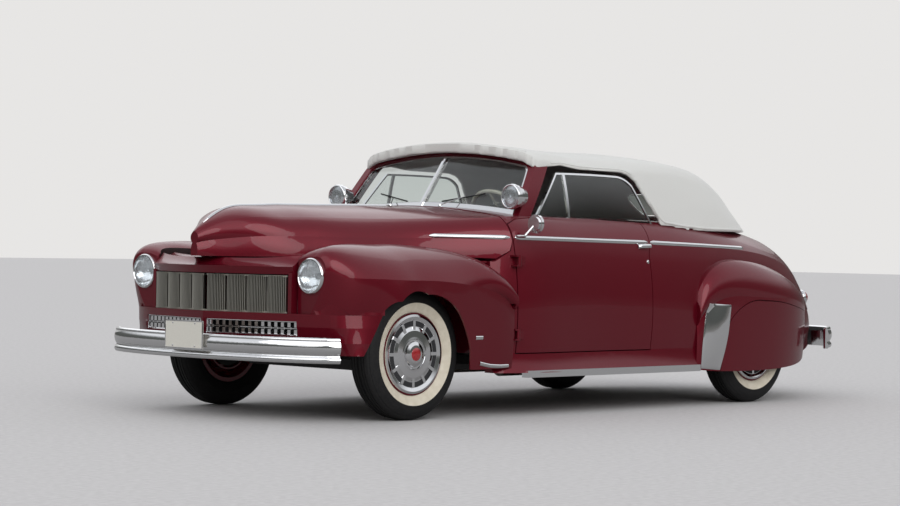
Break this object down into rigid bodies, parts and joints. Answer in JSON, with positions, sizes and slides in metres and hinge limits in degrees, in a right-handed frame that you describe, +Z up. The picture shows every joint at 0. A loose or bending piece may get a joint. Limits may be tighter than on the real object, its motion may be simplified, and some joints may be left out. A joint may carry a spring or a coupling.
{
  "type": "classic car",
  "caption": "Two-door convertible with a closed padded soft top, a bull-nosed hood, separate rounded fenders, skirted rear wheels and whitewall tyres, on a rail frame.",
  "frame": {"origin": "on the ground, midway along the car and on its middle plane", "axes": "+X towards the rear, +Y towards the right-hand side of the car, +Z up"},
  "size_m": [5.135, 1.9151, 1.5218],
  "materials": {
    "paint": "gloss",
    "soft_top": "matte",
    "chrome": "polished",
    "grille": "satin",
    "lamps": "gloss",
    "red_lens": "gloss",
    "glass": "gloss",
    "tyre": "matte",
    "wheel": "gloss",
    "chassis": "satin",
    "engine": "matte",
    "plate": "satin",
    "seats": "satin",
    "interior": "satin",
    "steering": "gloss"
  },
  "bodies": {
    "car_body": {"body_shell": "paint", "bumper_irons": "chassis", "chassis_frame": "chassis", "dashboard": "interior", "engine_block": "engine", "exhaust": "chassis", "fender_skirts": "paint", "front_aprons": "paint", "front_axle": "chassis", "front_bumper": "chrome", "front_fender_left": "paint", "front_fender_right": "paint", "front_pan": "paint", "front_seat": "seats", "fuel_tank": "chassis", "grille": "grille", "grille_header": "paint", "headlamps": "lamps", "lower_grille": "grille", "number_plate": "plate", "radiator": "chassis", "rear_axle": "chassis", "rear_bumper": "chrome", "rear_fender_left": "paint", "rear_fender_right": "paint", "rear_seat": "seats", "rear_window": "glass", "rocker_strips": "chrome", "soft_top": "soft_top", "spotlights": "chrome", "springs": "chassis", "steering_column": "interior", "tail_lamps": "red_lens", "windshield_frame": "chrome", "windshield_glass": "glass", "windshield_surround": "paint"},
    "door_left": {"door_left": "paint", "door_window_frame_left": "chrome", "door_glass_left": "glass", "door_mirror": "chrome"},
    "door_right": {"door_right": "paint", "door_window_frame_right": "chrome", "door_glass_right": "glass"},
    "hood": {"hood": "paint"},
    "trunk_lid": {"trunk_lid": "paint"},
    "steering_wheel": {"steering_wheel": "steering"},
    "knuckle_left": {"knuckle_left": "chassis"},
    "knuckle_right": {"knuckle_right": "chassis"},
    "wheel_front_left": {"tyre_front_left": "tyre", "wheel_front_left": "wheel", "wheel_cover_front_left": "chrome"},
    "wheel_front_right": {"tyre_front_right": "tyre", "wheel_front_right": "wheel", "wheel_cover_front_right": "chrome"},
    "wheel_rear_left": {"tyre_rear_left": "tyre", "wheel_rear_left": "wheel", "wheel_cover_rear_left": "chrome"},
    "wheel_rear_right": {"tyre_rear_right": "tyre", "wheel_rear_right": "wheel", "wheel_cover_rear_right": "chrome"}
  },
  "joints": [
    {"name": "steer_left", "type": "hinge", "parent": "car_body", "child": "knuckle_left", "pos_m": [-1.663, -0.64, 0.355], "axis": [0, 0, 1], "range_deg": [-30, 30]},
    {"name": "wheel_front_left_turn", "type": "hinge", "parent": "knuckle_left", "child": "wheel_front_left", "pos_m": [-1.663, -0.735, 0.355], "axis": [0, 1, 0], "continuous": true},
    {"name": "wheel_rear_left_turn", "type": "hinge", "parent": "car_body", "child": "wheel_rear_left", "pos_m": [1.334, -0.762, 0.355], "axis": [0, 1, 0], "continuous": true},
    {"name": "door_left_open", "type": "hinge", "parent": "car_body", "child": "door_left", "pos_m": [-0.921, -0.886, 0.7], "axis": [0, 0, -1], "range_deg": [0, 65]},
    {"name": "steer_right", "type": "hinge", "parent": "car_body", "child": "knuckle_right", "pos_m": [-1.663, 0.64, 0.355], "axis": [0, 0, 1], "range_deg": [-30, 30]},
    {"name": "wheel_front_right_turn", "type": "hinge", "parent": "knuckle_right", "child": "wheel_front_right", "pos_m": [-1.663, 0.735, 0.355], "axis": [0, 1, 0], "continuous": true},
    {"name": "wheel_rear_right_turn", "type": "hinge", "parent": "car_body", "child": "wheel_rear_right", "pos_m": [1.334, 0.762, 0.355], "axis": [0, 1, 0], "continuous": true},
    {"name": "door_right_open", "type": "hinge", "parent": "car_body", "child": "door_right", "pos_m": [-0.921, 0.886, 0.7], "axis": [0, 0, 1], "range_deg": [0, 65]},
    {"name": "steering_wheel_turn", "type": "hinge", "parent": "car_body", "child": "steering_wheel", "pos_m": [-0.467, -0.36, 1.088], "axis": [0.766, 0, 0.6428], "range_deg": [-540, 540]},
    {"name": "hood_open", "type": "hinge", "parent": "car_body", "child": "hood", "pos_m": [-0.928, 0, 1.16], "axis": [0, 1, 0], "range_deg": [0, 40]},
    {"name": "trunk_open", "type": "hinge", "parent": "car_body", "child": "trunk_lid", "pos_m": [1.812, 0, 1.095], "axis": [0, -1, 0], "range_deg": [0, 55]}
  ],
  "couplings": [
    {"joint": "steer_right", "follows": "steer_left", "ratio": 1},
    {"joint": "steering_wheel_turn", "follows": "steer_left", "ratio": 18}
  ]
}
